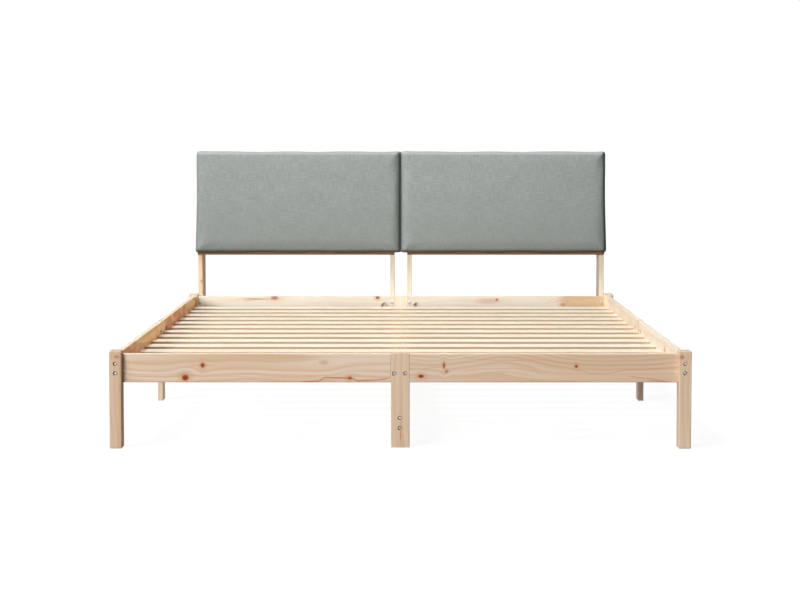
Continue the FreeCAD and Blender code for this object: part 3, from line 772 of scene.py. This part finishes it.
def apply_modifier(piece, kind, **settings):
    """Adds a modifier with its settings and applies it."""
    activate(piece)
    modifier = piece.modifiers.new(kind.lower(), kind)
    for key, setting in settings.items():
        setattr(modifier, key, setting)
    bpy.ops.object.modifier_apply(modifier=modifier.name)


def bevel_edges(piece, wanted, offset, segments):
    """Bevels the edges whose two ends pass a test."""
    activate(piece)
    bpy.ops.object.mode_set(mode="EDIT")
    bpy.ops.mesh.select_mode(type="EDGE")
    bpy.ops.mesh.select_all(action="DESELECT")
    shape = bmesh.from_edit_mesh(piece.data)
    for edge in shape.edges:
        edge.select = wanted(*[vertex.co for vertex in edge.verts])
    bmesh.update_edit_mesh(piece.data)
    bpy.ops.mesh.bevel(offset=offset, segments=segments, affect="EDGES")
    bpy.ops.object.mode_set(mode="OBJECT")


def points_of(piece):
    """The vertex places of a mesh as an array."""
    places = np.empty(len(piece.data.vertices) * 3)
    piece.data.vertices.foreach_get("co", places)
    return places.reshape(-1, 3)


def set_points(piece, places):
    """Moves the vertices of a mesh."""
    piece.data.vertices.foreach_set("co", places.ravel())
    piece.data.update()


def start_pad(settings):
    """A pad a little smaller than the cushion, in the slope's own axes: x, depth back, height up."""
    inset = settings.start_inset
    size = Vector((PAD_WIDTH, PAD_DEPTH, PAD_HEIGHT)) - Vector((2, 2, 2)) * inset
    bpy.ops.object.select_all(action="DESELECT")
    back = -PAD_BACK - inset
    front = back - size.y
    bpy.ops.mesh.primitive_cube_add(size=1, location=(0, (back + front) / 2, PAD_LIFT + PAD_HEIGHT / 2))
    pad = bpy.context.object
    pad.name = "pad_pattern"
    pad.scale = size
    bpy.ops.object.transform_apply(location=True, rotation=False, scale=True)
    bevel_edges(pad, lambda one, two: abs(one.y - two.y) > size.y / 2, settings.corner_round, 5)
    bevel_edges(pad, lambda one, two: max(one.y, two.y) < front + ON_FACE, settings.front_round, 5)
    bevel_edges(pad, lambda one, two: min(one.y, two.y) > back - ON_FACE, settings.back_round, 2)
    apply_modifier(pad, "REMESH", mode="VOXEL", voxel_size=settings.voxel)
    return pad


def swell_pad(pad, settings):
    """Inflates the pad's cover as cloth and keeps any point from moving too far."""
    rest = points_of(pad)
    held = pad.vertex_groups.new(name="stapled_back")
    back = [int(index) for index in np.nonzero(rest[:, 1] > -PAD_BACK - STAPLED)[0]]
    held.add(back, 1.0, "REPLACE")
    activate(pad)
    cloth = pad.modifiers.new("cover", "CLOTH")
    cloth.settings.quality = 5
    cloth.settings.mass = 0.3
    cloth.settings.tension_stiffness = 12
    cloth.settings.compression_stiffness = 12
    cloth.settings.shear_stiffness = 4
    cloth.settings.bending_stiffness = 0.4
    cloth.settings.use_pressure = True
    cloth.settings.uniform_pressure_force = settings.pressure
    cloth.settings.vertex_group_mass = held.name
    cloth.settings.effector_weights.gravity = 0
    cloth.point_cache.frame_start = 1
    cloth.point_cache.frame_end = settings.frames
    for step in range(1, settings.frames + 1):
        bpy.context.scene.frame_set(step)
    bpy.ops.object.modifier_apply(modifier=cloth.name)
    bpy.context.scene.frame_set(1)
    moved = points_of(pad) - rest
    length = np.maximum(np.linalg.norm(moved, axis=1, keepdims=True), 1e-9)
    set_points(pad, rest + moved * settings.swell * np.tanh(length / settings.swell) / length)


def fit_pad(pad, settings):
    """Evens the cover out and brings the pad to the size of the cushion in the photograph."""
    apply_modifier(pad, "SMOOTH", factor=0.5, iterations=settings.evening)
    places = points_of(pad)
    low, high = places.min(axis=0), places.max(axis=0)
    wanted_low = np.array((-settings.width / 2, -PAD_BACK - PAD_DEPTH, PAD_LIFT))
    wanted_high = np.array((settings.width / 2, -PAD_BACK, PAD_LIFT + PAD_HEIGHT))
    set_points(pad, wanted_low + (places - low) * (wanted_high - wanted_low) / (high - low))


def draw_in_edges(pad, settings, centre, dips, crease):
    """Draws the pad's edges in, crowns it, rolls its front edges, opens the joint and creases it.

    front runs from 0 at the pad's back, which stays flat, to 1 at its face. The roll takes up the
    front two thirds of the depth, and the joint opens just in front of the back."""
    places = points_of(pad)
    x, y, z = places.T
    outward = np.sign(centre)
    half_width, half_height = PAD_WIDTH / 2, PAD_HEIGHT / 2
    middle = PAD_LIFT + half_height
    side = np.clip((np.abs(z - middle) - half_height + EDGE_BAND) / EDGE_BAND, 0, 1)
    pull = sum(np.exp(-((x - dip) / DIP_REACH) ** 2) for dip in dips)
    z -= np.sign(z - middle) * DIP_DEPTH * pull * side ** 2
    outside = np.clip(((x - centre) * outward - half_width + EDGE_BAND) / EDGE_BAND, 0, 1)
    reach = np.exp(-((z - middle) / SIDE_DIP_REACH) ** 2)
    x -= outward * SIDE_DIP_DEPTH * reach * outside ** 2

    front = np.clip((-y - PAD_BACK) / PAD_DEPTH, 0, 1)
    across = 1 - np.clip(np.abs(x - centre) / half_width, 0, 1) ** 2
    up = 1 - np.clip(np.abs(z - middle) / half_height, 0, 1) ** 2
    y -= settings.crown * across * up * front
    roll = settings.roll
    near_side = np.clip(roll - half_width + np.abs(x - centre), 0, roll)
    near_end = np.clip(roll - half_height + np.abs(z - middle), 0, roll)
    reach_in = np.minimum(np.hypot(near_side, near_end), roll)
    y += (roll - np.sqrt(roll ** 2 - reach_in ** 2)) * np.clip(front * 1.5 - 0.5, 0, 1)

    inside = np.clip(((centre - x) * outward - half_width + GROOVE_START) / GROOVE_BAND, 0, 1)
    x = outward * np.maximum(x * outward, CONTACT)
    x += outward * HALF_GROOVE * inside * np.clip(front * 8 - 0.6, 0, 1)
    waves = np.sin(x * 9.1 + 0.7) * np.sin(z * 17.0 + x * 3.0) + 0.6 * np.sin(x * 23.0 - z * 11.0)
    y += WAVE_DEPTH * waves * front
    if crease:
        beside = x - crease[0]
        along = np.clip(1 - np.abs(z - crease[1]) / CREASE_LENGTH, 0, 1)
        y += CREASE_DEPTH * along * np.exp(-(beside / CREASE_WIDTH) ** 2) * front
        y -= CREST_HEIGHT * along * np.exp(-((beside - CREST_AWAY) / CREST_WIDTH) ** 2) * front
    set_points(pad, np.stack([x, y, z], axis=1))


def lay_weave(pad):
    """Gives the cover a UV map in metres, so that the yarns follow each side."""
    weave = pad.data.uv_layers.new(name="weave")
    places = points_of(pad)
    coordinates = np.empty((len(pad.data.loops), 2))
    for polygon in pad.data.polygons:
        facing = max(range(3), key=lambda axis: abs(polygon.normal[axis]))
        first, second = {0: (1, 2), 1: (0, 2), 2: (0, 1)}[facing]
        for loop in polygon.loop_indices:
            place = places[pad.data.loops[loop].vertex_index]
            coordinates[loop] = (place[first], place[second])
    weave.data.foreach_set("uv", coordinates.ravel())


def lean_back(pad):
    """Turns the pad onto the headboard's slope."""
    turn = Matrix.Translation(KNEE) @ Euler((-LEAN, 0, 0)).to_matrix().to_4x4()
    pad.data.transform(turn)
    pad.data.update()


def linen(settings):
    """Slubby linen in two greys, woven on the piece's own UV map, with a painted highlight and painted
    shade.
    """
    finish = Finish("grey_linen")
    u, v, _ = finish.split("ShaderNodeSeparateXYZ", finish.node("ShaderNodeUVMap", {"uv_map": "weave"}))
    weft_slub = finish.noise(finish.vector(u * SLUBS_ALONG, v * SLUBS_ACROSS, 0.0), 1.0, 2.0, 0.6)
    warp_slub = finish.noise(finish.vector(u * SLUBS_ACROSS, v * SLUBS_ALONG, 7.0), 1.0, 2.0, 0.6)
    broad = finish.noise(finish.vector(u * 14.0, v * 14.0, 3.0), 1.0, 3.0)
    turns = math.pi / settings.yarn_width
    weft = finish.math("ABSOLUTE", finish.math("SINE", v * turns + weft_slub * SLUB_PUSH))
    warp = finish.math("ABSOLUTE", finish.math("SINE", u * turns + warp_slub * SLUB_PUSH))
    over = finish.smooth(finish.math("SINE", u * turns) * finish.math("SINE", v * turns), -0.2, 0.2)
    height = weft * over + warp * (1 - over)
    yarn = weft_slub * 0.5 + warp_slub * 0.5
    mottled = finish.smooth(yarn * 0.9 + broad * 0.1, 0.34, 0.66)
    x, _, z = finish.place()
    # Painted shade: the lower part of each cushion is darker
    mottled = mottled * (1 - finish.smooth(z, *SHADED_LOWER_PART) * 0.45)
    shade = finish.mix(mottled, settings.dark, settings.light)
    # Painted highlight along the top edge
    shade = finish.mix(finish.smooth(z, *TOP_HIGHLIGHT) * 0.5, shade, settings.painted_top_highlight)
    # Painted shade along the right edge, in the joint and along the lower edge
    joint = finish.smooth(x, *JOINT_LEFT) * finish.smooth(x, *JOINT_RIGHT)
    edge_shade_share = finish.math("MAXIMUM", joint, finish.smooth(x, *RIGHT_EDGE_SHADE)) * 0.7
    edge_shade_share = finish.math("MAXIMUM", edge_shade_share, finish.smooth(z, *LOWER_EDGE_SHADE) * 0.85)
    shade = finish.mix(edge_shade_share, shade, settings.painted_edge_shade)
    pits = finish.mix((1 - height) * 0.25, shade, settings.pit)
    finish.bump(height * 0.7 + yarn * 0.6, 0.6, 0.0006)
    return finish.set_surface(Base_Color=pits, Roughness=0.9, Specular_IOR_Level=0.1)


class BED_OT_make_cushions(Operator):
    """Two padded linen cushions that lean on the headboard"""

    bl_idname = "bed.make_cushions"
    bl_label = "Make Cushions"

    # Where each cushion dips, across the bed, and where it is creased, across and up the slope
    dips = {"left": (-0.628, -0.379, -0.093), "right": (0.272, 0.526, 0.843)}
    creases = {"left": (-0.770, 0.06), "right": None}

    def execute(self, context):
        settings = context.scene.bed.linen
        material = linen(settings)
        pattern = start_pad(settings)
        swell_pad(pattern, settings)
        fit_pad(pattern, settings)
        apply_modifier(pattern, "SUBSURF", levels=1, render_levels=1)
        for side in ("left", "right"):
            node = "cushion_" + side
            low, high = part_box(node)
            centre = math.copysign(settings.width / 2 - PRESS, low.x + high.x)
            pad = bpy.data.objects.new("padded_" + node, pattern.data.copy())
            context.scene.collection.objects.link(pad)
            pad.data.transform(Matrix.Translation((centre, 0, 0)))
            draw_in_edges(pad, settings, centre, self.dips[side], self.creases[side])
            lay_weave(pad)
            lean_back(pad)
            activate(pad)
            bpy.ops.object.shade_smooth()
            pad.data.materials.append(material)
            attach(pad, "root")
            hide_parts(node)
        bpy.data.objects.remove(pattern)
        return {"FINISHED"}


# Stage

WHITE = (1.0, 1.0, 1.0)

# The floor's glow, the paper that takes the shadow, and the distances from the middle, in metres,
# between which the glow takes over
FLOOR_SIZE = 80
FLOOR_GLOW = 1.08
FLOOR_PAPER = (0.95, 0.95, 0.95, 1.0)
FLOOR_FADE = (2.2, 5.0)


def area_lamp(name, place, size, strength, shade, target=(0, 0, 0.4), spread=math.pi):
    """Softbox that lights a surface facing it at a given strength, where 1 is full white.

    A narrower spread makes a lamp brighter, which the last factor of its energy takes back."""
    ray = Vector(target) - Vector(place)
    half = spread / 2
    lamp = bpy.data.lights.new(name, "AREA")
    lamp.shape = "RECTANGLE"
    lamp.size, lamp.size_y = size
    lamp.spread = spread
    lamp.energy = strength * math.pi ** 2 * ray.length_squared * (1 - half / math.tan(half))
    lamp.color = shade
    holder = bpy.data.objects.new(name, lamp)
    holder.location = place
    holder.rotation_euler = ray.to_track_quat("-Z", "Y").to_euler()
    bpy.context.scene.collection.objects.link(holder)


def seen_directly(tree):
    """1 for rays that come straight from the camera or through a mirror or glass, else 0."""
    path = tree.nodes.new("ShaderNodeLightPath")
    total = path.outputs["Is Camera Ray"]
    for name in ("Is Glossy Ray", "Is Transmission Ray"):
        adder = tree.nodes.new("ShaderNodeMath")
        adder.operation = "MAXIMUM"
        tree.links.new(total, adder.inputs[0])
        tree.links.new(path.outputs[name], adder.inputs[1])
        total = adder.outputs[0]
    return total


def floor_material(white_share, bounce):
    """White floor that keeps a soft shadow and throws some light back."""
    finish = Finish("studio_floor")
    finish.set_surface(Base_Color=(bounce, bounce, bounce, 1.0), Roughness=0.9)
    glow = finish.node("ShaderNodeEmission", None, {"Color": (*WHITE, 1.0), "Strength": FLOOR_GLOW})
    paper = finish.node("ShaderNodeBsdfDiffuse", None, {"Color": FLOOR_PAPER})
    x, y, _ = finish.place()
    far = finish.smooth(finish.math("SQRT", x * x + y * y), *FLOOR_FADE)
    shown = finish.node("ShaderNodeMixShader", None,
                        {0: white_share + far * (1 - white_share), 1: paper, 2: glow})
    whole = finish.node("ShaderNodeMixShader", None,
                        {0: Value(finish, seen_directly(finish.tree)),
                         1: Value(finish, finish.surface.outputs[0]), 2: shown})
    finish.feed(finish.tree.nodes["Material Output"].inputs["Surface"], whole)
    return finish.material


class BED_OT_build_stage(Operator):
    """White floor, soft lamps and the camera"""

    bl_idname = "bed.build_stage"
    bl_label = "Build Stage"

    def execute(self, context):
        settings = context.scene.bed.stage
        scene = context.scene
        bpy.ops.object.select_all(action="DESELECT")
        bpy.ops.mesh.primitive_plane_add(size=FLOOR_SIZE, location=(0, 0, 0))
        floor = context.object
        floor.name = "floor"
        floor.data.materials.append(floor_material(settings.floor_white, settings.floor_bounce))

        world = bpy.data.worlds.new("studio_room")
        world.use_nodes = True
        tree = world.node_tree
        glow = tree.nodes["Background"]
        glow.inputs["Color"].default_value = (*WHITE, 1.0)
        brightness = tree.nodes.new("ShaderNodeMapRange")
        tree.links.new(seen_directly(tree), brightness.inputs["Value"])
        brightness.inputs["To Min"].default_value = settings.room_strength
        brightness.inputs["To Max"].default_value = 1.0
        tree.links.new(brightness.outputs[0], glow.inputs["Strength"])
        scene.world = world

        area_lamp("key_lamp", (-9.5, -6.1, 19.3), (7.6, 7.6), settings.key_strength, (1.0, 0.99, 0.975))
        area_lamp("top_lamp", (-0.1, -0.5, 2.5), (1.2, 1.2), settings.top_strength, WHITE)
        area_lamp("side_lamp", (3.5, -0.6, 2.6), (0.8, 0.8), settings.side_strength, (1.0, 0.97, 0.93),
                  target=(-0.9, -0.1, 0.28), spread=math.radians(40))
        area_lamp("front_lamp", (-11.0, -19.1, 4.9), (10.0, 3.4), settings.front_strength, WHITE)

        lens = bpy.data.cameras.new("photo_camera")
        lens.lens = settings.camera_lens
        lens.sensor_width = 36
        lens.shift_y = settings.camera_shift
        camera = bpy.data.objects.new("photo_camera", lens)
        camera.location = settings.camera_place
        camera.rotation_euler = (math.pi / 2 - settings.camera_pitch, 0, settings.camera_turn)
        scene.collection.objects.link(camera)
        scene.camera = camera
        scene.view_settings.view_transform = "Standard"
        return {"FINISHED"}


class BED_PT_steps(Panel):
    """Steps that finish the bed, in order"""

    bl_idname = "BED_PT_steps"
    bl_label = "Pine Double Bed"
    bl_space_type = "VIEW_3D"
    bl_region_type = "UI"
    bl_category = "Bed"

    def draw(self, context):
        for step in STEPS:
            self.layout.operator(step.bl_idname)
        settings = context.scene.bed
        for group in (settings.pine, settings.linen, settings.stage):
            box = self.layout.box()
            for name in group.__annotations__:
                box.prop(group, name)


STEPS = (
    BED_OT_finish_uprights,
    BED_OT_finish_cross_boards,
    BED_OT_finish_long_boards,
    BED_OT_finish_slats,
    BED_OT_finish_plywood,
    BED_OT_finish_hardware,
    BED_OT_make_cushions,
    BED_OT_build_stage,
)
CLASSES = (PineSettings, LinenSettings, StageSettings, BedSettings, *STEPS, BED_PT_steps)


def register():
    for cls in CLASSES:
        bpy.utils.register_class(cls)
    bpy.types.Scene.bed = PointerProperty(type=BedSettings)


def unregister():
    del bpy.types.Scene.bed
    for cls in reversed(CLASSES):
        bpy.utils.unregister_class(cls)


def main():
    """Runs every step."""
    register()
    bpy.ops.bed.finish_uprights()
    bpy.ops.bed.finish_cross_boards()
    bpy.ops.bed.finish_long_boards()
    bpy.ops.bed.finish_slats()
    bpy.ops.bed.finish_plywood()
    bpy.ops.bed.finish_hardware()
    bpy.ops.bed.make_cushions()
    bpy.ops.bed.build_stage()


if __name__ == "__main__":
    main()
